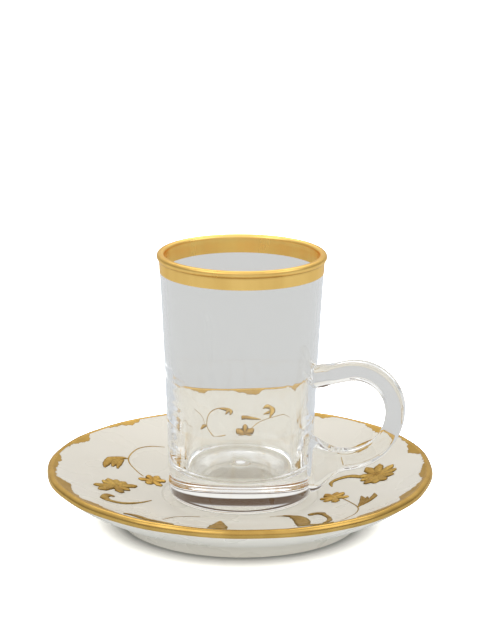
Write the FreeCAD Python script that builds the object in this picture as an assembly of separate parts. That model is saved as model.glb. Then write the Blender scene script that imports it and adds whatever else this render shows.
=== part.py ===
"""Clear glass tea cup with a fused strap handle, standing on a footed porcelain saucer.

Two solids, in millimetres. The origin is on the table, on the saucer's axis, with +Z up.
The cup stands in the saucer's well on the same axis. Its handle points along +X,
turned towards -Y by handle_turn.
"""
import FreeCAD, Part
import math
import os

# ---- saucer ----
saucer_radius = 70.0          # to the outside of the rolled rim
saucer_height = 19.7          # table to the top of the rolled rim
rim_roll_radius = 1.6         # the roll that ends the saucer's edge
roll_start_angle = 120.0      # where the roll leaves the upper side, and meets the underside
roll_end_angle = -50.0
well_clearance = 1.75         # round the cup's base, to the foot of the small step
well_step_width = 1.4
well_step_height = 0.45
well_step_bow = 0.08
well_floor_height = 8.6       # table to the floor that the cup stands on
upper_bow = 0.8               # how far the upper side is hollowed between step and rim
foot_ring_radius = 43.4       # outside of the ring that touches the table
foot_ring_width = 2.2         # width of the flat that touches the table
foot_edge_radius = 0.7        # rounding each side of that flat
foot_ring_height = 3.8        # depth of the hollow inside the ring
foot_hollow_slope = 1.6       # how far the ring's inner side leans inwards
foot_hollow_rise = 0.5        # how far the underside domes up in the middle
foot_flare_width = 4.0        # how far the ring's outer side leans outwards
foot_flare_height = 5.6       # height at which it runs into the plate
foot_flare_bow = 0.4
plate_belly = 1.1             # how far the underside bulges between ring and rim

# ---- cup ----
cup_height = 89.4             # its own height, above the saucer's floor
cup_base_radius = 25.65       # widest part of the base, above its rounded edge
cup_mouth_radius = 29.2       # outside of the wall just below the bead
cup_wall_bow = 0.35           # how far the wall's outside is hollowed in its height
cup_wall_top = 1.8            # wall thickness below the bead
cup_wall_bottom = 5.6         # wall thickness at the foot of the cavity
thickening_height = 50.0      # height below which the wall thickens inwards
thickening_power = 1.05       # how gently that begins
base_edge_radius = 3.0        # rounding between the base and the wall
base_flat_width = 2.5         # ring that the cup stands on
push_up_height = 1.15         # hollow under the base
cavity_floor_height = 10.4    # thickness of glass under the cavity, at its lowest
cavity_corner_radius = 3.4    # rounding between the cavity floor and the wall
cavity_floor_rise = 0.8       # how far the cavity floor rises in the middle
bead_height = 2.4             # the rounded bead that ends the mouth
bead_outer_lap = 0.8          # how far the bead stands out of the wall
bead_inner_lap = 0.3          # how far it stands into the cavity
bead_wrap = 60.0              # degrees that its roll turns under, past level, on each side
crease_height = 0.35          # short slope between the wall and the bead
wall_spans = 8                # spans of the smooth curve up each side of the wall

# ---- handle ----
handle_turn = 13.0            # degrees from +X towards -Y
strap_thickness = 6.55        # in the handle's own plane
strap_breadth = 7.2           # across the handle's plane
strap_edge_radius = 1.3
joint_edge_radius = 3.6       # the same rounding where the strap runs into the wall
handle_reach = 55.9           # cup axis to the middle of the strap at its furthest
handle_middle_height = 35.4   # height of that point above the cup's base
upper_bend_radius = 13.9
lower_bend_radius = 19.4
upper_slope = 15.0            # degrees by which the strap falls towards its upper joint
lower_slope = 10.0            # degrees by which it falls towards its foot
joint_sink = 0.9              # how far the strap's ends go into the wall
upper_joint_place = 3.2       # from the strap's upper end, in the wall, to where it swells most
upper_joint_height = 8.0      # the strap's height there
upper_joint_breadth = 9.2
upper_joint_spread = 1.8      # how fast that spread dies away along the strap
foot_joint_height = 20.8      # the same three at the handle's foot
foot_joint_breadth = 9.8
foot_joint_spread = 5.2
bend_step = 15.0              # degrees between two sections in a bend
straight_steps = 7            # sections along each straight end
wall_tries = 30               # steps towards the point where a straight end meets the wall


def point(radius, height):
    """A point of a half profile, in the XZ plane."""
    return FreeCAD.Vector(radius, 0, height)


def line(start, end):
    return Part.LineSegment(start, end).toShape()


def arc(start, middle, end):
    return Part.Arc(start, middle, end).toShape()


def bowed(start, end, bow):
    """A parabola from start to end whose middle lies bow to the left of the chord."""
    chord = end - start
    left = FreeCAD.Vector(-chord.z, 0, chord.x).normalize()
    curve = Part.BezierCurve()
    curve.setPoles([start, (start + end) * 0.5 + left * (2 * bow), end])
    return curve.toShape()


def dome(radius, edge_height, middle_height):
    """Edge, half-way and middle points of a shallow dome that is round about the axis."""
    rise = middle_height - edge_height
    ball_radius = (radius ** 2 + rise ** 2) / (2 * abs(rise))
    half_drop = ball_radius - math.sqrt(ball_radius ** 2 - (radius / 2.0) ** 2)
    half_way = point(radius / 2.0, middle_height - math.copysign(half_drop, rise))
    return point(radius, edge_height), half_way, point(0, middle_height)


def on_circle(centre, radius, angle):
    """The point at an angle in degrees, from +X towards +Z."""
    turn = math.radians(angle)
    return centre + point(math.cos(turn), math.sin(turn)) * radius


def corner(centre, radius, angle_from, angle_to):
    """An arc about centre, between two angles in degrees."""
    half_way = (angle_from + angle_to) / 2.0
    return arc(on_circle(centre, radius, angle_from), on_circle(centre, radius, half_way),
               on_circle(centre, radius, angle_to))


def ends(edge):
    """First and last point of an edge in the direction it was drawn."""
    return edge.valueAt(edge.FirstParameter), edge.valueAt(edge.LastParameter)


def turned(edges):
    """Revolves a closed half profile about the Z axis."""
    profile = Part.Face(Part.Wire(edges))
    return profile.revolve(FreeCAD.Vector(0, 0, 0), FreeCAD.Vector(0, 0, 1), 360)


def chained(pieces):
    """Joins profile pieces, with a straight line wherever one ends short of the next."""
    edges = []
    for here, after in zip(pieces, pieces[1:] + pieces[:1]):
        edges.append(here)
        end = ends(here)[1]
        start = ends(after)[0]
        if (end - start).Length > 1e-6:
            edges.append(line(end, start))
    return edges


def saucer_solid():
    roll_centre = point(saucer_radius - rim_roll_radius, saucer_height - rim_roll_radius)
    well_radius = cup_base_radius + well_clearance
    well_foot = point(well_radius, well_floor_height)
    well_lip = point(well_radius + well_step_width, well_floor_height + well_step_height)
    well_middle = (well_foot + well_lip) * 0.5
    upper_side_end = on_circle(roll_centre, rim_roll_radius, roll_start_angle)
    under_side_end = on_circle(roll_centre, rim_roll_radius, roll_end_angle)

    ring_outside = foot_ring_radius
    ring_inside = ring_outside - 2 * foot_edge_radius - foot_ring_width
    flat_outside = ring_outside - foot_edge_radius
    flat_inside = ring_inside + foot_edge_radius
    flare_top = point(ring_outside + foot_flare_width, foot_flare_height)
    hollow_edge = point(ring_inside - foot_hollow_slope, foot_ring_height)

    pieces = [
        line(point(0, well_floor_height), well_foot),
        # the step round the well is an S of two curves
        bowed(well_foot, well_middle, -well_step_bow),
        bowed(well_middle, well_lip, well_step_bow),
        bowed(well_lip, upper_side_end, -upper_bow),
        corner(roll_centre, rim_roll_radius, roll_start_angle, roll_end_angle),
        bowed(under_side_end, flare_top, plate_belly),
        bowed(flare_top, point(ring_outside, foot_edge_radius), -foot_flare_bow),
        corner(point(flat_outside, foot_edge_radius), foot_edge_radius, 0, -90),
        corner(point(flat_inside, foot_edge_radius), foot_edge_radius, -90, -180),
        line(point(ring_inside, foot_edge_radius), hollow_edge),
        arc(*dome(hollow_edge.x, foot_ring_height, foot_ring_height + foot_hollow_rise)),
    ]
    return turned(chained(pieces))


def cup_outside(height):
    """Outer radius of the wall at a height above the cup's base, before the bead."""
    share = (height - base_edge_radius) / (wall_top_height() - base_edge_radius)
    straight = cup_base_radius + (cup_mouth_radius - cup_base_radius) * share
    return straight - 4 * cup_wall_bow * share * (1 - share)


def wall_top_height():
    return cup_height - bead_height - crease_height


def cup_inside(height):
    """Radius of the cavity at a height above the cup's base."""
    low = cavity_floor_height + cavity_corner_radius
    share = max(0.0, (thickening_height - height) / (thickening_height - low))
    thickness = cup_wall_top + (cup_wall_bottom - cup_wall_top) * share ** thickening_power
    return cup_outside(height) - thickness


def cup_body():
    top = wall_top_height()
    bead_middle = cup_height - bead_height / 2.0
    bead_outside = cup_mouth_radius + bead_outer_lap
    bead_inside = cup_mouth_radius - cup_wall_top - bead_inner_lap
    nose = bead_height / 2.0
    flat_outside = cup_base_radius - base_edge_radius
    cavity_top = cavity_floor_height + cavity_corner_radius
    cavity_side = point(cup_inside(cavity_top), cavity_top)
    corner_centre = point(cavity_side.x - cavity_corner_radius, cavity_top)

    def wall(radius_at, first, last):
        heights = [first + (last - first) * step / wall_spans for step in range(wall_spans + 1)]
        curve = Part.BSplineCurve()
        curve.interpolate([point(radius_at(height), height) for height in heights])
        return curve.toShape()

    pieces = [
        line(point(flat_outside - base_flat_width, 0), point(flat_outside, 0)),
        corner(point(flat_outside, base_edge_radius), base_edge_radius, -90, 0),
        wall(cup_outside, base_edge_radius, top),
        corner(point(bead_outside - nose, bead_middle), nose, -bead_wrap, 90),
        corner(point(bead_inside + nose, bead_middle), nose, 90, 180 + bead_wrap),
        wall(cup_inside, top, cavity_top),
        corner(corner_centre, cavity_corner_radius, 0, -90),
        arc(*dome(corner_centre.x, cavity_floor_height, cavity_floor_height + cavity_floor_rise)),
        arc(*reversed(dome(flat_outside - base_flat_width, 0, push_up_height))),
    ]
    body = turned(chained(pieces))
    body.translate(point(0, well_floor_height))
    return body


def heading(angle):
    """Direction of travel, clockwise, on a bend at an angle from its centre."""
    turn = math.radians(angle)
    return point(math.sin(turn), -math.cos(turn))


def handle_path():
    """Stations along the middle of the strap: place, direction and distance run."""
    middle = well_floor_height + handle_middle_height
    bends = [(point(handle_reach - upper_bend_radius, middle), upper_bend_radius, 90.0 + upper_slope, 0.0),
             (point(handle_reach - lower_bend_radius, middle), lower_bend_radius, 0.0, lower_slope - 90.0)]
    upper_way = heading(90.0 + upper_slope)
    lower_way = heading(lower_slope - 90.0)
    upper_end = on_circle(bends[0][0], upper_bend_radius, 90.0 + upper_slope)
    lower_end = on_circle(bends[1][0], lower_bend_radius, lower_slope - 90.0)
    upper_run = run_to_wall(upper_end, upper_way * -1)
    lower_run = run_to_wall(lower_end, lower_way)

    stations = []
    for step in range(straight_steps):
        run = upper_run * step / straight_steps
        stations.append((upper_end - upper_way * (upper_run - run), upper_way, run))
    bend_start = upper_run
    for centre, radius, first, last in bends:
        count = round((first - last) / bend_step)
        for step in range(count):
            turned_by = (first - last) * step / count
            angle = first - turned_by
            run = bend_start + math.radians(turned_by) * radius
            stations.append((on_circle(centre, radius, angle), heading(angle), run))
        bend_start += math.radians(first - last) * radius
    for step in range(straight_steps + 1):
        along = lower_run * step / straight_steps
        stations.append((lower_end + lower_way * along, lower_way, bend_start + along))
    return stations, bend_start + lower_run


def run_to_wall(start, direction):
    """Distance from start to the point that lies joint_sink inside the cup's wall."""
    run = 0.0
    for _ in range(wall_tries):
        place = start + direction * run
        aim = cup_outside(place.z - well_floor_height) - joint_sink
        run += (aim - place.x) / direction.x
    return run


def strap_section(place, direction, height, breadth, rounding):
    """A rounded rectangle across the strap, of the given height and breadth."""
    up = FreeCAD.Vector(direction.z, 0, -direction.x)
    across = FreeCAD.Vector(0, 1, 0)
    half_up = height / 2.0
    half_across = breadth / 2.0
    inset = 1 - math.sqrt(0.5)

    def at(along_up, along_across):
        return place + up * along_up + across * along_across

    edges = []
    corners = [(1, 1), (-1, 1), (-1, -1), (1, -1)]
    for index, (side_up, side_across) in enumerate(corners):
        next_up, next_across = corners[(index + 1) % 4]
        round_first = at(side_up * half_up, side_across * (half_across - rounding))
        round_last = at(side_up * (half_up - rounding), side_across * half_across)
        tip = at(side_up * (half_up - inset * rounding),
                 side_across * (half_across - inset * rounding))
        if side_up != side_across:
            round_first, round_last = round_last, round_first
        edges.append(arc(round_first, tip, round_last))
        if next_up == side_up:
            following = at(side_up * half_up, next_across * (half_across - rounding))
        else:
            following = at(next_up * (half_up - rounding), side_across * half_across)
        edges.append(line(round_last, following))
    return Part.Wire(edges)


def handle_solid():
    stations, length = handle_path()
    sections = []
    for place, direction, run in stations:
        near_top = math.exp(-((run - upper_joint_place) / upper_joint_spread) ** 2 / 2)
        near_foot = math.exp(-((length - run) / foot_joint_spread) ** 2 / 2)
        height = (strap_thickness + (upper_joint_height - strap_thickness) * near_top
                  + (foot_joint_height - strap_thickness) * near_foot)
        breadth = (strap_breadth + (upper_joint_breadth - strap_breadth) * near_top
                   + (foot_joint_breadth - strap_breadth) * near_foot)
        rounding = (strap_edge_radius
                    + (joint_edge_radius - strap_edge_radius) * (near_top + near_foot))
        sections.append(strap_section(place, direction, height, breadth, rounding))
    strap = Part.makeLoft(sections, True, False)
    strap.rotate(FreeCAD.Vector(0, 0, 0), FreeCAD.Vector(0, 0, 1), -handle_turn)
    return strap


def cup_solid():
    """The cup and its handle are one piece of glass."""
    return cup_body().fuse(handle_solid()).removeSplitter()


os.makedirs("parts", exist_ok=True)
for node, shape in (("saucer", saucer_solid()), ("cup", cup_solid())):
    solid = shape.Solids[0]
    solid.exportStep("parts/" + node + ".step")
    box = solid.BoundBox
    print(node, len(shape.Solids), solid.isValid(), round(solid.Volume / 1000, 2), "cm3",
          [round(v, 2) for v in (box.XMin, box.XMax, box.YMin, box.YMax, box.ZMin, box.ZMax)])
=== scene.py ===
"""Looks for the clear glass tea cup with a gilt lip and its ivory saucer with gilt flowers.

Lengths are in millimetres until a mesh is made, and angles in degrees. The saucer and cup share
the Z axis, the table is at zero height, and the handle points along +X, a little towards -Y.
"""
import bpy
import bmesh
import math
from mathutils import Matrix, Vector, noise


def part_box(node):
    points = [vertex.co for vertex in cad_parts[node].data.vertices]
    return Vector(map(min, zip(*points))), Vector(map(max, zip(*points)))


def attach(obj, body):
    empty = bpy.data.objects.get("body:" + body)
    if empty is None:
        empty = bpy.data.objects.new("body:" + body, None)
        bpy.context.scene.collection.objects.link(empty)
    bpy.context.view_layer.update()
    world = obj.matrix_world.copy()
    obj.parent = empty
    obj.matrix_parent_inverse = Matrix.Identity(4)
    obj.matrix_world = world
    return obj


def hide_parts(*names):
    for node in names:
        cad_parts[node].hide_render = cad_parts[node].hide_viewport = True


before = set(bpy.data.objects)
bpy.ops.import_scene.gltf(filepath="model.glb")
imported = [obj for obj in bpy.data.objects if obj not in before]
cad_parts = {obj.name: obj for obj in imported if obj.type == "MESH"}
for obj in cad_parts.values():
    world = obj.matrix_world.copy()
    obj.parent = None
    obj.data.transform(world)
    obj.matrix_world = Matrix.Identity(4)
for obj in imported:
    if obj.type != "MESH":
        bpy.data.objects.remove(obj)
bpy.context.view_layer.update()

MM = 0.001
cup_low, cup_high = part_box("cup")
saucer_low, saucer_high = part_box("saucer")

# ---- saucer: the sizes of its solid ----
saucer_radius = (saucer_high.x - saucer_low.x) / 2 / MM
saucer_height = saucer_high.z / MM
floor_height = cup_low.z / MM     # table to the floor that the cup stands on
roll_radius = 1.6                 # the roll that ends the saucer's edge
roll_start, roll_end = 120.0, -50.0
well_radius, well_step_width, well_step_height, well_step_bow = 27.4, 1.4, 0.45, 0.08
upper_bow, plate_belly = 0.8, 1.1
foot_radius, foot_width, foot_edge, foot_height = 43.4, 2.2, 0.7, 3.8
hollow_slope, hollow_rise = 1.6, 0.5
flare_width, flare_height, flare_bow = 4.0, 5.6, 0.4

# ---- cup: the sizes of its solid, with heights above its own base ----
cup_height = (cup_high.z - cup_low.z) / MM
base_radius, mouth_radius, wall_bow = 25.65, 29.2, 0.35
wall_top, wall_bottom = 1.8, 5.6
thickening_height, thickening_power = 50.0, 1.05
base_edge, base_flat, push_up = 3.0, 2.5, 1.15
cavity_floor, cavity_corner, cavity_rise = 10.4, 3.4, 0.8
bead_height, bead_outer_lap, bead_wrap, crease = 2.4, 0.8, 60.0, 0.35

# ---- handle: the sizes of its solid ----
handle_turn = 13.0                # from +X towards -Y
strap_thickness, strap_breadth, strap_edge, joint_edge = 6.55, 7.2, 1.3, 3.6
handle_reach, handle_middle = 55.9, 35.4
upper_bend, lower_bend = 13.9, 19.4
upper_slope, lower_slope = 15.0, 10.0
joint_sink = 0.9                  # how far the strap's ends go into the wall
bulb_place = 3.2                  # from the strap's upper end to where it swells most
upper_joint = (8.0, 9.2, 1.8)     # height, breadth and spread of that swelling
foot_joint = (20.8, 9.8, 5.2)     # the same at the strap's foot

# ---- what only the visible glass has ----
rest_gap = 0.02                   # air between the cup's base and the saucer
bead_inner_lap, bead_inner_wrap = 0.04, 15.0   # inside, the bead is nearly flush with the wall
ripple_depth, ripple_pitch = 0.10, 3.4
ripple_drift = 0.9                # how far the ripples wander up and down, in pitches
ripple_band = (18.0, 62.0)        # heights between which the inside of the wall ripples
ripple_fades = (6.0, 26.0)        # how far the ripples take to grow from each end of that band
ripple_turn = 0.1                 # radians from the X axis to where they are deepest
ripple_sides = (0.78, 0.16)       # cosine from there at which they begin, and over which they grow
nub_rise, nub_spread = 0.5, 2.8   # a small swelling in the middle of the cavity floor

# ---- the saucer's edge isn't quite round ----
waver_start, waver_width = 46.0, 24.0   # radius where that begins, and over which it grows

# ---- gilding ----
gilt_offset = 0.02                # air between the glass and its gilding
gilt_thickness = 0.06
lip_band_outer = 6.65             # how far the gilding reaches down the outside of the lip
lip_band_inner = 6.4
# painted highlight: the gilding is made lighter on the inside of the band than on the outside
lip_inside_painted_light, lip_outside_tone = 1.36, 1.12
crease_shade_depth, crease_shade_reach = 0.44, 0.45   # painted shade: the darker line where the bead leaves the wall
edge_tongues = 16                 # scallops of the saucer's gilt border
tongue_phase = 17.0               # from +X to the tip of one of them
tongue_depth = 3.1
tongue_long, tongue_short = (0.62, 1.4), (0.22, 0.8)   # each side's reach in scallops, and power
border_radius = 68.3              # inner edge of the border between two tongues
border_end = -34.0                # where the gilding ends under the roll
border_sunk, border_proud = 0.03, 0.07   # its underside and upper side, from the porcelain
border_tones = [0.62] + [0.8] * 7 + [0.86] + [1.0] * 16   # from its inner edge outwards
border_back_shade = 0.2                 # painted shade: how much darker the border is made behind the cup
broad_places = ((212.0, 2.2), (335.0, 1.7))   # where it is brushed wider, and by how much
broad_spread = 32.0

# ---- how finely the shapes are divided ----
cup_segments, saucer_segments, border_segments = 256, 400, 1800
straight_steps = 16                     # sections of each straight end of the strap
bend_pitch = 3.5                        # degrees between two sections in its bends
corner_steps = 6                        # of the strap's rounded edges
wall_tries = 30                         # steps towards the point where the strap meets the wall
glass_sharp = 34.0                      # edges of the glass steeper than this stay crisp


# =============================== meshes ===============================

def new_piece(name, points, faces, material, sharp=None, tones=None):
    """One mesh object; tones give how light the gilding is at each point, painted light and shade
    included.

    Edges steeper than sharp stay crisp.
    """
    mesh = bpy.data.meshes.new(name)
    mesh.from_pydata([Vector(p) * MM for p in points], [], faces)
    if tones:
        mesh.attributes.new("tone", "FLOAT", "POINT").data.foreach_set("value", tones)
    tidy = bmesh.new()
    tidy.from_mesh(mesh)
    bmesh.ops.recalc_face_normals(tidy, faces=tidy.faces)
    tidy.to_mesh(mesh)
    tidy.free()
    mesh.shade_smooth()
    if sharp is not None:
        mesh.set_sharp_from_angle(angle=math.radians(sharp))
    piece = bpy.data.objects.new(name, mesh)
    bpy.context.scene.collection.objects.link(piece)
    mesh.materials.append(material)
    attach(piece, "root")
    return piece


def lathe(profile, segments, move=None):
    """Points and faces of a half profile that starts and ends on the axis, turned round it."""
    points, faces, rings = [], [], []
    for radius, height in profile:
        if radius < 1e-6:
            rings.append([len(points)])
            points.append((0.0, 0.0, height))
            continue
        ring = []
        for step in range(segments):
            angle = 2 * math.pi * step / segments
            ring.append(len(points))
            point = (radius * math.cos(angle), radius * math.sin(angle), height)
            points.append(move(*point) if move else point)
        rings.append(ring)
    for lower, upper in zip(rings, rings[1:]):
        if len(lower) == 1 and len(upper) == 1:
            continue
        for step in range(segments):
            after = (step + 1) % segments
            if len(lower) == 1:
                faces.append((lower[0], upper[step], upper[after]))
            elif len(upper) == 1:
                faces.append((lower[step], lower[after], upper[0]))
            else:
                faces.append((lower[step], lower[after], upper[after], upper[step]))
    return points, faces


def loops_to_tube(loops, closed):
    """Skins a row of point loops of equal length; an open row gets a face at each end."""
    size = len(loops[0])
    points = [p for loop in loops for p in loop]
    faces = []
    count = len(loops)
    for row in range(count if closed else count - 1):
        here, there = row * size, (row + 1) % count * size
        for k in range(size):
            after = (k + 1) % size
            faces.append((here + k, here + after, there + after, there + k))
    if not closed:
        faces.append(tuple(range(size)))
        faces.append(tuple(range((count - 1) * size, count * size)))
    return points, faces


# ============================== profiles ==============================

def eased(share):
    """A share from 0 to 1 that starts and ends gently."""
    return share * share * (3 - 2 * share)


def straight(start, end, count):
    """A straight line in count steps."""
    return [(start[0] + (end[0] - start[0]) * k / count,
             start[1] + (end[1] - start[1]) * k / count) for k in range(count + 1)]


def bowed(start, end, bow, count):
    """A parabola whose middle lies bow to the left of the chord."""
    across, up = end[0] - start[0], end[1] - start[1]
    length = math.hypot(across, up)
    pole = ((start[0] + end[0]) / 2 - up / length * 2 * bow,
            (start[1] + end[1]) / 2 + across / length * 2 * bow)
    points = []
    for k in range(count + 1):
        t = k / count
        weights = ((1 - t) ** 2, 2 * t * (1 - t), t * t)
        points.append(tuple(weights[0] * start[i] + weights[1] * pole[i] + weights[2] * end[i]
                            for i in (0, 1)))
    return points


def on_circle(centre, radius, angle):
    turn = math.radians(angle)
    return centre[0] + radius * math.cos(turn), centre[1] + radius * math.sin(turn)


def rounded(centre, radius, angle_from, angle_to, count):
    """An arc in count steps."""
    return [on_circle(centre, radius, angle_from + (angle_to - angle_from) * k / count)
            for k in range(count + 1)]


def dome(radius, edge_height, middle_height, count):
    """A shallow arc from an edge to the axis."""
    rise = middle_height - edge_height
    ball = (radius ** 2 + rise ** 2) / (2 * abs(rise))
    points = []
    for k in range(count + 1):
        at = radius * (1 - k / count)
        drop = ball - math.sqrt(ball ** 2 - at ** 2)
        points.append((at, middle_height - math.copysign(drop, rise)))
    return points


def chained(*parts):
    """One profile from several, without doubled points."""
    profile = []
    for part in parts:
        for p in part:
            if not profile or math.dist(profile[-1], p) > 1e-4:
                profile.append(p)
    return profile


# =============================== saucer ===============================

roll_centre = (saucer_radius - roll_radius, saucer_height - roll_radius)
step_foot = (well_radius, floor_height)
step_lip = (well_radius + well_step_width, floor_height + well_step_height)
step_middle = tuple((a + b) / 2 for a, b in zip(step_foot, step_lip))
upper_end = on_circle(roll_centre, roll_radius, roll_start)
under_end = on_circle(roll_centre, roll_radius, roll_end)
upper_side = bowed(step_lip, upper_end, -upper_bow, 48)


def top_height(radius):
    """Height of the saucer's upper side at a distance from the axis."""
    if radius <= step_lip[0]:
        share = max(0.0, (radius - step_foot[0]) / well_step_width)
        return floor_height + well_step_height * share
    if radius >= upper_end[0]:
        reach = min(radius - roll_centre[0], roll_radius)
        return roll_centre[1] + math.sqrt(max(0.0, roll_radius ** 2 - reach ** 2))
    for here, after in zip(upper_side, upper_side[1:]):
        if radius <= after[0]:
            share = (radius - here[0]) / (after[0] - here[0])
            return here[1] + (after[1] - here[1]) * share
    return upper_end[1]


# waves of the edge, as times round, depth and where a crest lies
edge_waves = ((1, 0.55, -15.0), (2, 1.0, 70.0), (3, 0.75, -70.0),
              (edge_tongues, 0.12, tongue_phase))


def out_of_round(x, y, z):
    """Moves a point of the saucer as its hand-finished edge wavers."""
    radius = math.hypot(x, y)
    share = min(1.0, max(0.0, (radius - waver_start) / waver_width))
    if share == 0.0:
        return x, y, z
    angle = math.atan2(y, x)
    swell = sum(depth * math.cos(times * (angle - math.radians(crest)))
                for times, depth, crest in edge_waves)
    scale = 1 + swell * eased(share) / radius
    return x * scale, y * scale, z


def saucer_profile():
    """Half profile of the saucer, from the middle of its well round the edge to its underside."""
    ring_inside = foot_radius - 2 * foot_edge - foot_width
    flare_top = (foot_radius + flare_width, flare_height)
    return chained(
        straight((0.0, floor_height), step_foot, 8),
        bowed(step_foot, step_middle, -well_step_bow, 4),
        bowed(step_middle, step_lip, well_step_bow, 4),
        upper_side,
        rounded(roll_centre, roll_radius, roll_start, roll_end, 18),
        bowed(under_end, flare_top, plate_belly, 24),
        bowed(flare_top, (foot_radius, foot_edge), -flare_bow, 8),
        rounded((foot_radius - foot_edge, foot_edge), foot_edge, 0, -90, 5),
        rounded((ring_inside + foot_edge, foot_edge), foot_edge, -90, -180, 5),
        [(ring_inside - hollow_slope, foot_height)],
        dome(ring_inside - hollow_slope, foot_height, foot_height + hollow_rise, 10),
    )


def build_saucer(material):
    points, faces = lathe(saucer_profile(), saucer_segments, out_of_round)
    saucer = new_piece("porcelain_saucer", points, faces, material, sharp=40)
    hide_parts("saucer")


# ================================ cup =================================

def wall_height():
    """Where the wall ends under the bead."""
    return cup_height - bead_height - crease


def cup_outside(height):
    """Outer radius of the wall."""
    share = (height - base_edge) / (wall_height() - base_edge)
    return base_radius + (mouth_radius - base_radius) * share - 4 * wall_bow * share * (1 - share)


def cup_inside(height):
    """Inner radius of the wall, which thickens downwards."""
    low = cavity_floor + cavity_corner
    share = max(0.0, (thickening_height - height) / (thickening_height - low))
    return cup_outside(height) - wall_top - (wall_bottom - wall_top) * share ** thickening_power


def wall(radius_at, first, last, count):
    """Profile points of one side of the wall, from the first height to the last."""
    heights = [first + (last - first) * k / count for k in range(count + 1)]
    return [(radius_at(h), h) for h in heights]


def bead_arcs():
    """Outer and inner half of the bead that ends the mouth."""
    nose = bead_height / 2
    middle = cup_height - nose
    outer = (mouth_radius + bead_outer_lap - nose, middle)
    inner = (mouth_radius - wall_top - bead_inner_lap + nose, middle)
    return (rounded(outer, nose, -bead_wrap, 90, 14),
            rounded(inner, nose, 90, 180 + bead_inner_wrap, 14))


def cup_profile():
    """Half profile of the cup, from the middle of its base round the bead to the cavity floor."""
    top, low = wall_height(), cavity_floor + cavity_corner
    flat = base_radius - base_edge
    outer_bead, inner_bead = bead_arcs()
    corner_centre = (cup_inside(low) - cavity_corner, low)
    return chained(
        list(reversed(dome(flat - base_flat, 0.0, push_up, 10))),
        straight((flat - base_flat, 0.0), (flat, 0.0), 3),
        rounded((flat, base_edge), base_edge, -90, 0, 12),
        wall(cup_outside, base_edge, top, 40),
        outer_bead, inner_bead,
        wall(cup_inside, top, low, 44),
        rounded(corner_centre, cavity_corner, 0, -90, 18),
        [(r, h + nub_rise * math.exp(-(r / nub_spread) ** 2))
         for r, h in dome(corner_centre[0], cavity_floor, cavity_floor + cavity_rise, 40)],
    )


def rippled(x, y, z):
    """The lower inside of the wall has shallow level ripples left by the glass mould."""
    radius = math.hypot(x, y)
    low, high = ripple_band
    if not low < z < high or radius > cup_outside(z) - wall_top / 2:
        return x, y, z
    angle = math.atan2(y, x)
    fade = min(1.0, (z - low) / ripple_fades[0], (high - z) / ripple_fades[1])
    sideways = abs(math.cos(angle - ripple_turn))
    fade *= eased(min(1.0, max(0.0, (sideways - ripple_sides[0]) / ripple_sides[1])))
    place = Vector((math.cos(angle) * 1.5, math.sin(angle) * 1.5, z * 0.06))
    waves = z / ripple_pitch + ripple_drift * noise.noise(place)
    scale = 1 + ripple_depth * fade * math.sin(2 * math.pi * waves) / radius
    return x * scale, y * scale, z


def run_to_wall(start, way):
    """How far a straight end of the strap runs from start before it is in the wall."""
    run = 0.0
    for _ in range(wall_tries):
        height = start[1] + way[1] * run - floor_height
        run += (cup_outside(height) - joint_sink - start[0] - way[0] * run) / way[0]
    return run


def handle_stations():
    """Place, direction and distance run along the middle of the strap."""
    def heading(angle):
        return math.sin(math.radians(angle)), -math.cos(math.radians(angle))

    middle = floor_height + handle_middle
    bends = (((handle_reach - upper_bend, middle), upper_bend, 90.0 + upper_slope, 0.0),
             ((handle_reach - lower_bend, middle), lower_bend, 0.0, lower_slope - 90.0))
    upper_way, lower_way = heading(90.0 + upper_slope), heading(lower_slope - 90.0)
    upper_point = on_circle(bends[0][0], upper_bend, 90.0 + upper_slope)
    lower_point = on_circle(bends[1][0], lower_bend, lower_slope - 90.0)
    upper_run = run_to_wall(upper_point, (-upper_way[0], -upper_way[1]))
    lower_run = run_to_wall(lower_point, lower_way)
    stations = []
    for k in range(straight_steps):
        back = upper_run * (1 - k / straight_steps)
        place = upper_point[0] - upper_way[0] * back, upper_point[1] - upper_way[1] * back
        stations.append((place, upper_way, upper_run - back))
    run = upper_run
    for centre, radius, first, last in bends:
        count = round((first - last) / bend_pitch)
        for k in range(count):
            angle = first + (last - first) * k / count
            stations.append((on_circle(centre, radius, angle), heading(angle),
                             run + math.radians(first - angle) * radius))
        run += math.radians(first - last) * radius
    for k in range(straight_steps + 1):
        along = lower_run * k / straight_steps
        place = lower_point[0] + lower_way[0] * along, lower_point[1] + lower_way[1] * along
        stations.append((place, lower_way, run + along))
    return stations, run + lower_run


def handle_loops():
    """Rounded oblong sections of the strap, which swells towards each joint."""
    stations, length = handle_stations()
    turn = Matrix.Rotation(math.radians(-handle_turn), 3, "Z")
    loops = []
    for place, way, run in stations:
        near_top = math.exp(-((run - bulb_place) / upper_joint[2]) ** 2 / 2)
        near_foot = math.exp(-((length - run) / foot_joint[2]) ** 2 / 2)
        height = (strap_thickness + (upper_joint[0] - strap_thickness) * near_top
                  + (foot_joint[0] - strap_thickness) * near_foot)
        breadth = (strap_breadth + (upper_joint[1] - strap_breadth) * near_top
                   + (foot_joint[1] - strap_breadth) * near_foot)
        rounding = strap_edge + (joint_edge - strap_edge) * min(1.0, near_top + near_foot)
        loop = []
        for side_up, side_across, first in ((1, 1, 0), (-1, 1, 90), (-1, -1, 180), (1, -1, 270)):
            for k in range(corner_steps + 1):
                angle = math.radians(first + 90 * k / corner_steps)
                up = side_up * (height / 2 - rounding) + rounding * math.cos(angle)
                across = side_across * (breadth / 2 - rounding) + rounding * math.sin(angle)
                spot = Vector((place[0] + way[1] * up, across, place[1] - way[0] * up))
                loop.append(turn @ spot)
        loops.append(loop)
    return loops


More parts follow.
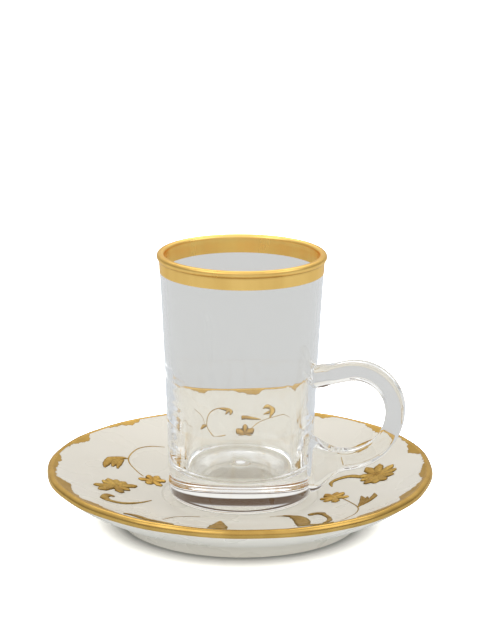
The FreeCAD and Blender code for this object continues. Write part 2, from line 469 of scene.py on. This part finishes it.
def build_glass(material):
    """The cup with its handle fused into the wall."""
    points, faces = lathe(cup_profile(), cup_segments, rippled)
    points = [(x, y, z + floor_height + rest_gap) for x, y, z in points]
    glass = new_piece("glass_cup", points, faces, material)
    points, faces = loops_to_tube(handle_loops(), closed=False)
    handle = new_piece("handle_blank", points, faces, material)
    fuse = glass.modifiers.new("fuse", "BOOLEAN")
    fuse.operation = "UNION"
    fuse.solver = "EXACT"
    fuse.object = handle
    bpy.context.view_layer.update()
    fused = bpy.data.meshes.new_from_object(glass.evaluated_get(bpy.context.evaluated_depsgraph_get()))
    glass.modifiers.clear()
    old = glass.data
    glass.data = fused
    bpy.data.meshes.remove(old)
    blank = handle.data
    bpy.data.objects.remove(handle)
    bpy.data.meshes.remove(blank)
    fused.shade_smooth()
    fused.set_sharp_from_angle(angle=math.radians(glass_sharp))
    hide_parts("cup")


# ============================== gilding ===============================

def offset_profile(profile, distance):
    """The profile moved to its left by distance."""
    moved = []
    for k, p in enumerate(profile):
        before, after = profile[max(k - 1, 0)], profile[min(k + 1, len(profile) - 1)]
        across, up = after[0] - before[0], after[1] - before[1]
        length = math.hypot(across, up)
        moved.append((p[0] - up / length * distance, p[1] + across / length * distance))
    return moved


def lip_gilding(material):
    """A thin band over the bead and down both sides of the wall."""
    top = wall_height()
    outer_bead, inner_bead = bead_arcs()
    outside = wall(cup_outside, cup_height - lip_band_outer, top, 8)
    inside = wall(cup_inside, top, cup_height - lip_band_inner, 8)
    skin = chained(outside, outer_bead, inner_bead, inside)
    tones = []
    for radius, height in skin:
        # painted shade along the crease under the bead, on the outside of the band
        line = max(0.0, 1 - abs(height - top - crease) / crease_shade_reach)
        is_inside = radius < mouth_radius - wall_top / 2
        # painted highlight: the inside of the band takes the lighter tone
        tones.append(lip_inside_painted_light if is_inside else lip_outside_tone - crease_shade_depth * line)
    under = offset_profile(skin, -gilt_offset)
    over = offset_profile(skin, -gilt_offset - gilt_thickness)
    section = over + list(reversed(under))
    loops = []
    for step in range(cup_segments):
        angle = 2 * math.pi * step / cup_segments
        loops.append([(r * math.cos(angle), r * math.sin(angle), h + floor_height) for r, h in section])
    points, faces = loops_to_tube(loops, closed=True)
    tones = (tones + list(reversed(tones))) * len(loops)
    new_piece("lip_gilding", points, faces, material, sharp=75, tones=tones)


def rim_noise(angle, times, layer):
    """An uneven line round the saucer; each layer is a different one."""
    return noise.noise(Vector((math.radians(angle) * times, layer, 0.0)))


def tongue(angle):
    """How far the gilt border reaches inwards past its narrowest, at an angle."""
    turn = (angle - tongue_phase) / (360.0 / edge_tongues)
    place = turn - math.floor(turn)
    off_tip = place if place < 0.5 else 1 - place
    gentle = max(0.0, 1 - place / tongue_long[0]) ** tongue_long[1]
    abrupt = max(0.0, 1 - (1 - place) / tongue_short[0]) ** tongue_short[1]
    uneven = 1 + 0.28 * math.sin(math.floor(turn + 0.5) * 2.4 + 0.6)
    ragged = rim_noise(angle, 26, 3.1)
    fine = rim_noise(angle, 95, 7.7)
    broad = sum(extra * math.exp(-(((angle - middle + 180) % 360 - 180) / broad_spread) ** 2)
                for middle, extra in broad_places)
    return max(0.0, tongue_depth * max(gentle, abrupt) * uneven + broad + (0.5 + off_tip) * ragged
               + 0.5 * fine)


def border_gilding(material):
    """The brushed border of the saucer, from its ragged inner edge over the roll."""
    loops, tones = [], []
    for step in range(border_segments):
        angle = 360.0 * step / border_segments
        inner = border_radius - tongue(angle)
        flat = straight((inner, 0.0), (upper_end[0], 0.0), 8)
        skin = [(r, top_height(r)) for r, _ in flat]
        skin += rounded(roll_centre, roll_radius, roll_start, border_end, 16)[1:]
        under = offset_profile(skin, -border_sunk)
        over = offset_profile(skin, border_proud)
        # the inner edge falls steeply to the porcelain
        over[0] = under[0][0], over[0][1] - 0.02
        section = over + list(reversed(under))
        # painted shade: the border is made darker towards its back, behind the cup
        back_shade = 1 - border_back_shade * max(0.0, math.sin(math.radians(angle))) ** 0.7
        shades = [tone * back_shade for tone in border_tones]
        tones += shades + list(reversed(shades))
        turn = math.radians(angle)
        loops.append([out_of_round(r * math.cos(turn), r * math.sin(turn), h) for r, h in section])
    points, faces = loops_to_tube(loops, closed=True)
    new_piece("saucer_edge_gilding", points, faces, material, sharp=50, tones=tones)


def speckle(x, y, fineness, layer):
    """An uneven field over the saucer; each layer is a different one."""
    return noise.noise(Vector((x * fineness, y * fineness, layer)))


class Relief:
    """Collects raised gilt shapes that lie on the saucer's upper side."""

    across = (-1.0, -0.9, -0.72, -0.5, -0.25, 0.0, 0.25, 0.5, 0.72, 0.9, 1.0)
    section_gap = 0.45            # between two sections of a stroke
    full_half = 0.7               # half width from which a stroke stands at its full height
    underside, underside_tone = -0.08, 0.5   # the shapes reach this far into the porcelain, and are painted darker there as shade at their foot
    bud_rings, bud_sectors = 6, 28

    def __init__(self):
        self.points = []
        self.tones = []
        self.faces = []

    def place(self, x, y, lift, tone):
        """Adds a point lift above the porcelain, and gives its number."""
        radius = math.hypot(x, y)
        self.points.append(out_of_round(x, y, top_height(radius) + lift))
        self.tones.append(tone)
        return len(self.points) - 1

    def crest(self, x, y, side, half, share, lift, ridge, tone):
        """A point of a stroke's upper side, at a share of its half width from its middle line."""
        full = min(1.0, half / self.full_half)
        uneven = 1.0
        if half >= 0.5:
            uneven = 1 + 0.16 * speckle(x, y, 0.9, math.copysign(5.0, share))
        spot = Vector((x, y)) + side * half * share * uneven
        grain = speckle(spot.x, spot.y, 1.5, 4.0)
        fine = speckle(spot.x, spot.y, 3.4, 8.0)
        body = lift * full ** 0.5 * (1 - share ** 6) + ridge * (1 - abs(share)) * full
        body += (0.10 * grain + 0.06 * fine) * (1 - share ** 2) * full
        # the grain varies the gilding's colour, and as it also raises the stroke, its bumps come out
        # lighter and its hollows darker as painted light and shade
        shade = tone * (1.06 + 0.34 * grain + 0.40 * fine)
        # painted shade: the stroke is darker towards its sides
        shade *= 1 - 0.6 * full * max(0.0, (abs(share) - 0.5) / 0.5) ** 1.5
        return self.place(spot.x, spot.y, body - 0.02, shade)

    def stroke(self, knots, widths, lift=0.3, ridge=0.1, tone=1.0):
        """A raised stroke along a smooth line through knots, as wide as widths say at each."""
        line = smooth_line(knots, widths, self.section_gap)
        rows = []
        for k, (x, y, width) in enumerate(line):
            before, after = line[max(k - 1, 0)], line[min(k + 1, len(line) - 1)]
            way = Vector((after[0] - before[0], after[1] - before[1])).normalized()
            side = Vector((-way.y, way.x))
            half = max(width / 2, 0.02)
            row = [self.crest(x, y, side, half, share, lift, ridge, tone) for share in self.across]
            for share in (0.7, -0.7):
                spot = Vector((x, y)) + side * half * share
                row.append(self.place(spot.x, spot.y, self.underside, self.underside_tone * tone))
            rows.append(row)
        size = len(rows[0])
        for here, there in zip(rows, rows[1:]):
            for k in range(size):
                after = (k + 1) % size
                self.faces.append((here[k], here[after], there[after], there[k]))
        self.faces.append(tuple(rows[0]))
        self.faces.append(tuple(reversed(rows[-1])))

    def petal(self, x, y, angle, length, width, lift, tone):
        """One petal from a flower's middle outwards, with a pinched root and a blunt tip."""
        turn = math.radians(angle)
        knots = [(x + length * share * math.cos(turn), y + length * share * math.sin(turn))
                 for share in (0.12, 0.45, 0.78, 1.0)]
        widths = [width * 0.45, width * 0.9, width, width * 0.3]
        self.stroke(knots, widths, lift, ridge=0.14, tone=tone)

    def flower(self, x, y, petals, width, heart, tone=1.0):
        """Petals as pairs of angle and length round a grainy raised heart."""
        mean = sum(length for _, length in petals) / len(petals)
        # a low darker disc under the petals: painted shade round them and between them
        self.bud(x, y, mean * 0.68, lift=0.2, tone=tone * 0.55)
        for k, (angle, length) in enumerate(petals):
            self.petal(x, y, angle, length, width, 0.34 + 0.07 * (k % 2), tone)
        self.bud(x, y, heart, lift=0.62, tone=tone * 0.92)

    def bud(self, x, y, reach, lift, tone):
        """A low grainy dome."""
        rows = []
        top = self.place(x, y, lift, tone)
        for ring in range(1, self.bud_rings + 1):
            share = ring / self.bud_rings
            row = []
            for step in range(self.bud_sectors):
                angle = 2 * math.pi * step / self.bud_sectors
                px, py = x + reach * share * math.cos(angle), y + reach * share * math.sin(angle)
                fine = speckle(px, py, 3.1, 2.0)
                body = lift * (1 - share ** 3) + 0.16 * fine * (1 - share)
                # painted light and shade: lighter on the grain's bumps, darker towards the rim where
                # the dome slopes down
                row.append(self.place(px, py, body - 0.03, tone * (1 + 0.35 * fine - 0.3 * share ** 2)))
            rows.append(row)
        low = self.place(x, y, self.underside, tone * self.underside_tone)
        for step in range(self.bud_sectors):
            after = (step + 1) % self.bud_sectors
            self.faces.append((top, rows[0][step], rows[0][after]))
            for here, there in zip(rows, rows[1:]):
                self.faces.append((here[step], there[step], there[after], here[after]))
            self.faces.append((rows[-1][after], rows[-1][step], low))


def smooth_line(knots, widths, gap):
    """Catmull-Rom through the knots at about even gaps, with the width eased between them."""
    line = []
    ends = [knots[0]] + list(knots) + [knots[-1]]
    for k in range(len(knots) - 1):
        p0, p1, p2, p3 = (Vector(p) for p in ends[k:k + 4])
        steps = max(3, round((p2 - p1).length / gap))
        for step in range(steps):
            t = step / steps
            spot = 0.5 * ((2 * p1) + (p2 - p0) * t + (2 * p0 - 5 * p1 + 4 * p2 - p3) * t ** 2
                          + (3 * p1 - p0 - 3 * p2 + p3) * t ** 3)
            line.append((spot.x, spot.y, widths[k] + (widths[k + 1] - widths[k]) * eased(t)))
    line.append((knots[-1][0], knots[-1][1], widths[-1]))
    return line


def tendril(art, knots, width=0.55):
    """A thin stem that tapers at its end."""
    widths = [width] * (len(knots) - 1) + [width * 0.7]
    art.stroke(knots, widths, lift=0.15, ridge=0.0, tone=0.86)


def left_side(art):
    """Small flower with its stem, bell, large flower, comma scroll and the leaves in front."""
    art.flower(-32, 9.6, [(191, 5.2), (114, 4.2), (66, 5.2), (18, 5.0), (-50, 5.2), (-112, 4.6)],
               width=3.0, heart=1.3, tone=1.3)
    tendril(art, [(-35.4, 12), (-38, 15.6), (-41, 21.4), (-41.2, 27), (-38.6, 33.8), (-34, 37.5),
                  (-28.5, 38.8)])
    # bell of three lobes
    art.stroke([(-41.8, 24.4), (-44.5, 23.4), (-47.8, 20.6), (-49.2, 16), (-49.7, 11.8)],
               [0.7, 2.2, 3.4, 3.0, 0.9])
    art.stroke([(-44, 22.8), (-46, 19), (-46.9, 14.4)], [1.4, 3.4, 1.0], tone=0.92)
    art.stroke([(-43.2, 22.6), (-44.6, 18.2), (-45, 13.8)], [0.8, 2.2, 0.8])
    # large many-petalled flower
    art.flower(-44.5, -4, [(34, 8.6), (62, 6.6), (90, 6.2), (122, 6.0), (163, 5.4), (218, 9.8),
                           (240, 11.4), (286, 7.6), (338, 5.4)], width=3.7, heart=1.9)
    # comma scroll and its twin stem
    art.stroke([(-44.4, -18.6), (-46.4, -18.3), (-47.6, -21.4), (-47.2, -25.4), (-44.6, -26.8),
                (-41.5, -26), (-38.4, -23.2), (-35, -18.6), (-31.5, -12.6)],
               [1.2, 3.2, 2.9, 4.0, 3.3, 2.4, 1.6, 0.9, 0.4])
    tendril(art, [(-14, -28), (-17.5, -29.5), (-22, -33.5), (-24.4, -38.5), (-26.4, -45.5)], 0.6)
    art.stroke([(-39.5, -50), (-36, -48.4), (-32, -53.2), (-27, -56.4), (-22.5, -61.5)],
               [1.6, 5.2, 4.6, 4.4, 1.5])
    art.stroke([(-6.8, -35.2), (-7, -42), (-7.4, -52), (-7.6, -62)], [0.8, 3.4, 6.4, 6.8], tone=1.1)


def right_side(art):
    """Small flower with its stem and bud, large flower, hooked leaf and the leaf by the handle."""
    art.flower(33.6, -8.6, [(171, 5.1), (121, 6.0), (77, 5.2), (45, 5.0), (-28, 5.7), (-87, 6.6),
                            (-137, 5.0)], width=3.2, heart=1.4, tone=1.3)
    tendril(art, [(36.4, -11.4), (38.8, -18.6), (40.7, -27), (41, -34.5), (39.4, -42.5),
                  (36.4, -49), (33.6, -56)])
    art.stroke([(41.2, -30), (42.5, -24), (43.3, -19), (43, -14)], [0.5, 2.0, 2.3, 0.7])
    art.stroke([(42, -28.5), (44.3, -22), (45, -17)], [0.5, 2.2, 0.9], tone=0.9)
    art.stroke([(42.4, -28.2), (45.2, -23), (47.2, -18.4), (47.6, -14.2)], [0.6, 2.4, 2.7, 0.7])
    art.flower(49.6, 5.6, [(110, 10.0), (82, 9.6), (44, 8.6), (8, 7.4), (-30, 7.0), (-70, 7.8),
                           (-98, 7.8), (-127, 7.6), (194, 6.2), (152, 7.0)],
               width=3.8, heart=2.0, tone=0.96)
    art.stroke([(44.4, 6.6), (41.8, 9.9), (38.4, 11), (35, 10), (33.1, 8), (33.3, 4.2)],
               [1.2, 2.6, 2.5, 2.0, 1.6, 0.6], tone=0.86)
    # leaf and hook at the front
    art.stroke([(10.5, -25.2), (14, -25.8), (17.4, -27.6), (19.8, -31.6), (21, -38), (21.3, -47),
                (21, -58)], [0.35, 0.5, 2.2, 4.6, 5.3, 5.4, 3.8])
    art.stroke([(22, -55), (26, -60), (31, -60.5)], [2.4, 3.4, 1.2], tone=0.9)
    art.stroke([(24.6, -30.8), (25.6, -28.6), (28, -29.6), (29.4, -34.2), (30.5, -42.6),
                (30, -50.5), (28.2, -56)], [1.6, 4.2, 3.3, 1.7, 1.5, 2.2, 1.5])
    # toothed leaf behind the handle
    art.stroke([(36.8, 35.8), (38.6, 33.4), (41.5, 33.5), (45, 34.6), (49.5, 37.3)],
               [0.8, 2.0, 1.9, 3.0, 0.8], tone=0.9)
    art.stroke([(45.6, 34), (44.8, 31.2)], [2.0, 0.5], tone=0.9)
    art.stroke([(47.2, 35.4), (48.8, 33.8)], [2.0, 0.5], tone=0.9)
    art.stroke([(42.6, 33.6), (41.4, 32)], [1.6, 0.5], tone=0.9)
    tendril(art, [(40.2, 32), (38.6, 29.3), (36, 26.6)], 0.5)


def behind_cup(art):
    """Small flower between two stems, which is seen through the glass."""
    art.flower(2.2, 44.8, [(15, 4.6), (90, 4.0), (165, 4.6), (-51, 4.6), (-129, 4.6)],
               width=2.7, heart=1.1)
    tendril(art, [(-5, 56), (-11, 56.8), (-16, 52.8), (-17.6, 46.3), (-15.5, 42.4), (-10.3, 41.2)])
    art.stroke([(-10.8, 56.8), (-7.5, 56.8), (-4.8, 56), (-5.2, 54)], [0.6, 1.8, 2.2, 0.7])
    art.stroke([(-6.1, 56.2), (-7.5, 54)], [1.8, 0.6])
    art.stroke([(-12.5, 41.2), (-9.8, 41.6), (-7.5, 43.4)], [0.7, 3.0, 1.2])
    art.stroke([(-9.8, 41.6), (-8, 40.8)], [2.6, 0.8])
    art.stroke([(-17.5, 45.4), (-19.4, 44.4), (-21.4, 41.8)], [0.6, 1.9, 0.6])
    tendril(art, [(-26, 51.4), (-21, 50), (-18.6, 45.8)], 0.4)
    tendril(art, [(5.7, 47.2), (9.5, 49.8), (15.2, 50.6), (22.8, 49.4), (28.5, 45.8)], 0.45)
    art.stroke([(0.4, 52.6), (3.4, 52.6), (10, 51)], [2.2, 1.8, 0.5])
    art.stroke([(0.7, 53.6), (3.9, 53)], [0.6, 1.2])
    art.stroke([(14.8, 50.8), (16.2, 53.8), (14.8, 56.4)], [0.8, 3.4, 1.6])
    art.stroke([(15.3, 55.8), (13, 57.2), (11, 56.4)], [1.8, 2.2, 0.6])
    art.stroke([(14.4, 53.8), (11.4, 53.4)], [1.8, 0.6])


def ornament(material):
    """The raised gilt flowers and scrolls of the saucer."""
    art = Relief()
    left_side(art)
    right_side(art)
    behind_cup(art)
    new_piece("gilt_ornament", art.points, art.faces, material, tones=art.tones)


# ============================= materials ==============================

def shader(name):
    """A new material, with its node tree, main shader and output."""
    material = bpy.data.materials.new(name)
    material.use_nodes = True
    tree = material.node_tree
    bsdf = next(n for n in tree.nodes if n.type == "BSDF_PRINCIPLED")
    out = next(n for n in tree.nodes if n.type == "OUTPUT_MATERIAL")
    return material, tree, bsdf, out


def set_inputs(node, values):
    """Sets sockets of a node by name."""
    for name, value in values.items():
        node.inputs[name].default_value = value


def noise_field(tree, scale, detail, roughness=0.5, stretch=None):
    """A noise texture in object space; scale is features per metre."""
    where = tree.nodes.new("ShaderNodeTexCoord").outputs["Object"]
    field = tree.nodes.new("ShaderNodeTexNoise")
    set_inputs(field, {"Scale": scale, "Detail": detail, "Roughness": roughness})
    if stretch:
        mapping = tree.nodes.new("ShaderNodeMapping")
        set_inputs(mapping, {"Scale": stretch})
        tree.links.new(where, mapping.inputs["Vector"])
        where = mapping.outputs["Vector"]
    tree.links.new(where, field.inputs["Vector"])
    return field.outputs["Fac"]


def ramp(tree, source, stops):
    """Colours by place, from 0 to 1."""
    node = tree.nodes.new("ShaderNodeValToRGB")
    elements = node.color_ramp.elements
    while len(elements) < len(stops):
        elements.new(0.5)
    for element, (place, colour) in zip(elements, stops):
        element.position = place
        element.color = (*colour, 1.0)
    tree.links.new(source, node.inputs["Fac"])
    return node.outputs["Color"]


def remapped(tree, value, low, high, to_low, to_high, smooth=False):
    """A value between low and high, moved to the range from to_low to to_high and kept in it."""
    node = tree.nodes.new("ShaderNodeMapRange")
    if smooth:
        node.interpolation_type = "SMOOTHSTEP"
    set_inputs(node, {"From Min": low, "From Max": high, "To Min": to_low, "To Max": to_high})
    tree.links.new(value, node.inputs["Value"])
    return node.outputs["Result"]


def spread(tree, field, low, high):
    """A noise field, which seldom leaves 0.3 to 0.7, spread from low to high."""
    return remapped(tree, field, 0.3, 0.7, low, high)


def mixed(tree, first, second, factor, blend="MIX"):
    """A colour mix; first, second and factor are each a constant or an output."""
    node = tree.nodes.new("ShaderNodeMix")
    node.data_type = "RGBA"
    node.blend_type = blend
    for socket, value in (("A", first), ("B", second), ("Factor", factor)):
        if isinstance(value, tuple):
            node.inputs[socket].default_value = (*value, 1)
        elif isinstance(value, float):
            node.inputs[socket].default_value = value
        else:
            tree.links.new(value, node.inputs[socket])
    return node.outputs["Result"]


def mixed_shaders(tree, first, second, factor):
    node = tree.nodes.new("ShaderNodeMixShader")
    tree.links.new(factor, node.inputs["Fac"])
    tree.links.new(first, node.inputs[1])
    tree.links.new(second, node.inputs[2])
    return node.outputs["Shader"]


def bump(tree, source, strength, distance, below=None):
    """A normal bumped by source, on top of another one if below is given."""
    node = tree.nodes.new("ShaderNodeBump")
    set_inputs(node, {"Strength": strength, "Distance": distance})
    tree.links.new(source, node.inputs["Height"])
    if below is not None:
        tree.links.new(below, node.inputs["Normal"])
    return node.outputs["Normal"]


def light_path(tree):
    return tree.nodes.new("ShaderNodeLightPath").outputs


def glass_material():
    material, tree, bsdf, out = shader("clear_glass")
    set_inputs(bsdf, {"Base Color": (0.985, 0.99, 0.985, 1), "Transmission Weight": 1.0, "IOR": 1.5})
    smear = noise_field(tree, 60, detail=2.0)
    tree.links.new(spread(tree, smear, 0.0, 0.02), bsdf.inputs["Roughness"])
    waves = noise_field(tree, 70, detail=1.0, roughness=0.4)
    tree.links.new(bump(tree, waves, 0.12, 0.00025), bsdf.inputs["Normal"])
    path = light_path(tree)
    # lamps shine straight through, so the cup's shadow is a faint one
    clear = tree.nodes.new("ShaderNodeBsdfTransparent")
    set_inputs(clear, {"Color": (0.93, 0.93, 0.92, 1)})
    cup = mixed_shaders(tree, bsdf.outputs["BSDF"], clear.outputs["BSDF"], path["Is Shadow Ray"])
    # a ray turned back this often inside the glass is taken to leave towards the pale room
    room = tree.nodes.new("ShaderNodeEmission")
    set_inputs(room, {"Color": (0.62, 0.635, 0.64, 1)})
    leaving = remapped(tree, path["Ray Depth"], 12, 18, 0.0, 1.0)
    tree.links.new(mixed_shaders(tree, cup, room.outputs["Emission"], leaving), out.inputs["Surface"])
    material.cycles.emission_sampling = "NONE"
    return material


def porcelain_material():
    material, tree, bsdf, _ = shader("ivory_porcelain")
    cloud = noise_field(tree, 28, detail=2.0, roughness=0.4)
    tree.links.new(ramp(tree, cloud, [(0.3, (0.765, 0.72, 0.62)), (0.7, (0.80, 0.76, 0.665))]),
                   bsdf.inputs["Base Color"])
    wear = noise_field(tree, 60, detail=2.0, roughness=0.4)
    tree.links.new(spread(tree, wear, 0.24, 0.34), bsdf.inputs["Roughness"])
    set_inputs(bsdf, {"IOR": 1.5, "Specular IOR Level": 0.36, "Coat Weight": 0.12,
                      "Coat Roughness": 0.15})
    peel = noise_field(tree, 140, detail=1.0, roughness=0.3)
    swell = noise_field(tree, 40, detail=0.0)
    broad = bump(tree, swell, 0.008, 0.0003)
    tree.links.new(bump(tree, peel, 0.006, 0.00005, broad), bsdf.inputs["Normal"])
    return material


def gold_material(name, dark, light, rough, grain_scale, grain, stretch=None):
    """Gilding whose colour and polish follow the mesh's tone, which holds its colour differences and
    its painted light and shade: darker places are rougher.
    """
    material, tree, bsdf, _ = shader(name)
    set_inputs(bsdf, {"Metallic": 1.0, "Specular Tint": (0.95, 0.84, 0.66, 1)})
    shade = noise_field(tree, 120, detail=2.0, stretch=stretch)
    plain = ramp(tree, shade, [(0.32, dark), (0.66, light)])
    attribute = tree.nodes.new("ShaderNodeAttribute")
    attribute.attribute_name = "tone"
    tone = attribute.outputs["Fac"]
    tree.links.new(mixed(tree, plain, tone, 1.0, "MULTIPLY"), bsdf.inputs["Base Color"])
    wear = noise_field(tree, 300, detail=2.0, stretch=stretch)
    polish = tree.nodes.new("ShaderNodeMath")
    tree.links.new(spread(tree, wear, *rough), polish.inputs[0])
    tree.links.new(remapped(tree, tone, 0.6, 1.0, 0.22, 0.0), polish.inputs[1])
    tree.links.new(polish.outputs["Value"], bsdf.inputs["Roughness"])
    fine = noise_field(tree, grain_scale, detail=2.0)
    tree.links.new(bump(tree, fine, grain, 0.0001), bsdf.inputs["Normal"])
    return material


# ========================= studio, in metres ==========================

def floor_material():
    material = bpy.data.materials.new("studio_floor")
    material.use_nodes = True
    tree = material.node_tree
    tree.nodes.clear()
    out = tree.nodes.new("ShaderNodeOutputMaterial")
    path = light_path(tree)
    where = tree.nodes.new("ShaderNodeTexCoord")
    reach = tree.nodes.new("ShaderNodeVectorMath")
    reach.operation = "LENGTH"
    tree.links.new(where.outputs["Object"], reach.inputs[0])
    # painted shadow: for the eye the sheet is made darker close round the foot and whiter further out,
    # so the shadow stays close round it
    painted_shadow_gain = remapped(tree, reach.outputs["Value"], 0.0435, 0.059, 0.55, 3.2)
    bright = tree.nodes.new("ShaderNodeCombineColor")
    for channel in ("Red", "Green", "Blue"):
        tree.links.new(painted_shadow_gain, bright.inputs[channel])
    seen = mixed(tree, (0.852, 0.90, 0.965), bright.outputs["Color"], path["Is Camera Ray"])
    through = mixed(tree, seen, (0.645, 0.645, 0.637), path["Is Transmission Ray"])
    matt = tree.nodes.new("ShaderNodeBsdfDiffuse")
    tree.links.new(through, matt.inputs["Color"])
    # matt surfaces also get a little light from the sheet itself
    glow = tree.nodes.new("ShaderNodeEmission")
    tree.links.new(remapped(tree, path["Is Diffuse Ray"], 0, 1, 0.0, 0.16), glow.inputs["Strength"])
    both = tree.nodes.new("ShaderNodeAddShader")
    tree.links.new(matt.outputs["BSDF"], both.inputs[0])
    tree.links.new(glow.outputs["Emission"], both.inputs[1])
    # the sheet has one side: from below, the underside of the saucer shows through it
    side = tree.nodes.new("ShaderNodeNewGeometry")
    clear = tree.nodes.new("ShaderNodeBsdfTransparent")
    sheet = mixed_shaders(tree, both.outputs["Shader"], clear.outputs["BSDF"],
                          side.outputs["Backfacing"])
    tree.links.new(sheet, out.inputs["Surface"])
    return material


def build_floor():
    """A large level sheet, a hair below the saucer's foot."""
    size = 6.0
    mesh = bpy.data.meshes.new("studio_floor")
    mesh.from_pydata([(-size, -size, 0), (size, -size, 0), (size, size, 0), (-size, size, 0)], [],
                     [(0, 1, 2, 3)])
    floor = bpy.data.objects.new("studio_floor", mesh)
    bpy.context.scene.collection.objects.link(floor)
    floor.location.z = -0.0002
    mesh.materials.append(floor_material())


def room_in_polish(tree, height, sideways, depth):
    """What polished surfaces reflect: brightest high up, and dimmer far to the sides."""
    front = ramp(tree, height, [(0.45, (0.62, 0.61, 0.60)), (0.6, (0.66, 0.66, 0.66)),
                                (0.8, (1.05, 1.05, 1.05))])
    rear = ramp(tree, height, [(0.45, (0.62, 0.62, 0.62)), (0.6, (0.74, 0.74, 0.74)),
                               (0.8, (1.05, 1.05, 1.05))])
    is_rear = remapped(tree, depth, 0.72, 0.95, 0.0, 1.0, smooth=True)
    far_aside = remapped(tree, sideways, 0.45, 0.95, 0.0, 1.0, smooth=True)
    dim = mixed(tree, (1.0, 1.0, 1.0), (0.62, 0.63, 0.63), far_aside)
    return mixed(tree, mixed(tree, front, rear, is_rear), dim, 1.0, "MULTIPLY")


def room_in_glass(tree, height, depth):
    """What glass shows: bluish sides, and behind the cup a pale wall with a brown drape."""
    sides = ramp(tree, height, [(0.5, (0.42, 0.45, 0.48)), (0.60, (0.50, 0.53, 0.56)),
                                (0.70, (0.86, 0.88, 0.90)), (0.8, (1.0, 1.0, 1.0))])
    behind = ramp(tree, height, [(0.5, (0.66, 0.66, 0.65)), (0.51, (0.80, 0.77, 0.70)),
                                 (0.645, (0.95, 0.94, 0.92)), (0.66, (0.09, 0.05, 0.028)),
                                 (0.74, (0.13, 0.08, 0.05)), (0.755, (0.74, 0.74, 0.745)),
                                 (0.9, (0.80, 0.79, 0.775))])
    is_behind = remapped(tree, depth, 0.1, 0.4, 0.0, 1.0, smooth=True)
    return mixed(tree, sides, behind, is_behind)


def build_world():
    """A pale room: grey for matt surfaces, white for the eye, its own for polish and for glass."""
    world = bpy.data.worlds.new("studio")
    bpy.context.scene.world = world
    world.use_nodes = True
    tree = world.node_tree
    tree.nodes.clear()
    out = tree.nodes.new("ShaderNodeOutputWorld")
    path = light_path(tree)
    where = tree.nodes.new("ShaderNodeTexCoord")
    split = tree.nodes.new("ShaderNodeSeparateXYZ")
    tree.links.new(where.outputs["Generated"], split.inputs["Vector"])
    height = remapped(tree, split.outputs["Z"], -1.0, 1.0, 0.0, 1.0)
    depth = split.outputs["Y"]
    aside = tree.nodes.new("ShaderNodeMath")
    aside.operation = "ABSOLUTE"
    tree.links.new(split.outputs["X"], aside.inputs[0])
    polish = room_in_polish(tree, height, aside.outputs["Value"], depth)
    room = mixed(tree, (0.72, 0.72, 0.72), polish, path["Is Glossy Ray"])
    room = mixed(tree, room, room_in_glass(tree, height, depth), path["Is Transmission Ray"])
    room = mixed(tree, room, (1.0, 1.0, 1.0), path["Is Camera Ray"])
    sky = tree.nodes.new("ShaderNodeBackground")
    tree.links.new(room, sky.inputs["Color"])
    tree.links.new(sky.outputs["Background"], out.inputs["Surface"])


def softbox(name, place, width, height, watts, aim=(0, 0, 0.04), shiny=True, through=False):
    """A rectangular lamp; shiny ones show in reflections, and through ones show through glass."""
    lamp = bpy.data.lights.new(name, "AREA")
    lamp.shape = "RECTANGLE"
    lamp.size = width
    lamp.size_y = height
    lamp.energy = watts
    box = bpy.data.objects.new(name, lamp)
    bpy.context.scene.collection.objects.link(box)
    box.location = place
    box.rotation_euler = (Vector(aim) - Vector(place)).to_track_quat("-Z", "Y").to_euler()
    box.visible_camera = False
    box.visible_transmission = through
    box.visible_glossy = shiny


def build_camera():
    """A long lens in front, well above the cup and tilted down."""
    distance, height, aside = 0.80887, 0.28682, -0.0005
    pitch, roll = 14.783, 0.421
    data = bpy.data.cameras.new("camera")
    data.sensor_width = 36.0
    data.lens = 132.9
    data.clip_start = 0.01
    camera = bpy.data.objects.new("camera", data)
    bpy.context.scene.collection.objects.link(camera)
    camera.matrix_world = (Matrix.Translation((aside, -distance, height))
                           @ Matrix.Rotation(math.radians(90 - pitch), 4, "X")
                           @ Matrix.Rotation(math.radians(roll), 4, "Z"))
    bpy.context.scene.camera = camera


# ============================== assembly ==============================

glass = glass_material()
porcelain = porcelain_material()
lip_gold = gold_material("lip_gilding", dark=(0.70, 0.44, 0.125), light=(0.78, 0.51, 0.155),
                         rough=(0.27, 0.33), grain_scale=200, grain=0.01, stretch=(1, 1, 0.2))
edge_gold = gold_material("edge_gilding", dark=(0.51, 0.315, 0.082), light=(0.62, 0.395, 0.11),
                          rough=(0.17, 0.26), grain_scale=500, grain=0.04)
raised_gold = gold_material("raised_gilding", dark=(0.31, 0.178, 0.043), light=(0.475, 0.315, 0.088),
                            rough=(0.34, 0.48), grain_scale=1300, grain=0.4)

build_glass(glass)
build_saucer(porcelain)
lip_gilding(lip_gold)
border_gilding(edge_gold)
ornament(raised_gold)

build_floor()
build_world()
softbox("key", (-0.7, -0.5, 1.1), 0.9, 0.9, 2.4, through=True)
softbox("fill", (0.9, -0.3, 0.9), 0.7, 0.9, 1.8, through=True)
softbox("back", (0.0, 0.9, 1.2), 1.2, 0.6, 3.0)
softbox("low_front", (0.0, -1.2, 0.35), 1.4, 0.5, 2.2, aim=(0, 0, 0.01), shiny=False)
build_camera()
bpy.context.scene.view_settings.view_transform = "Standard"
cycles = bpy.context.scene.cycles
cycles.max_bounces = 32           # light is turned back many times inside the glass
cycles.glossy_bounces = 24
cycles.transmission_bounces = 32
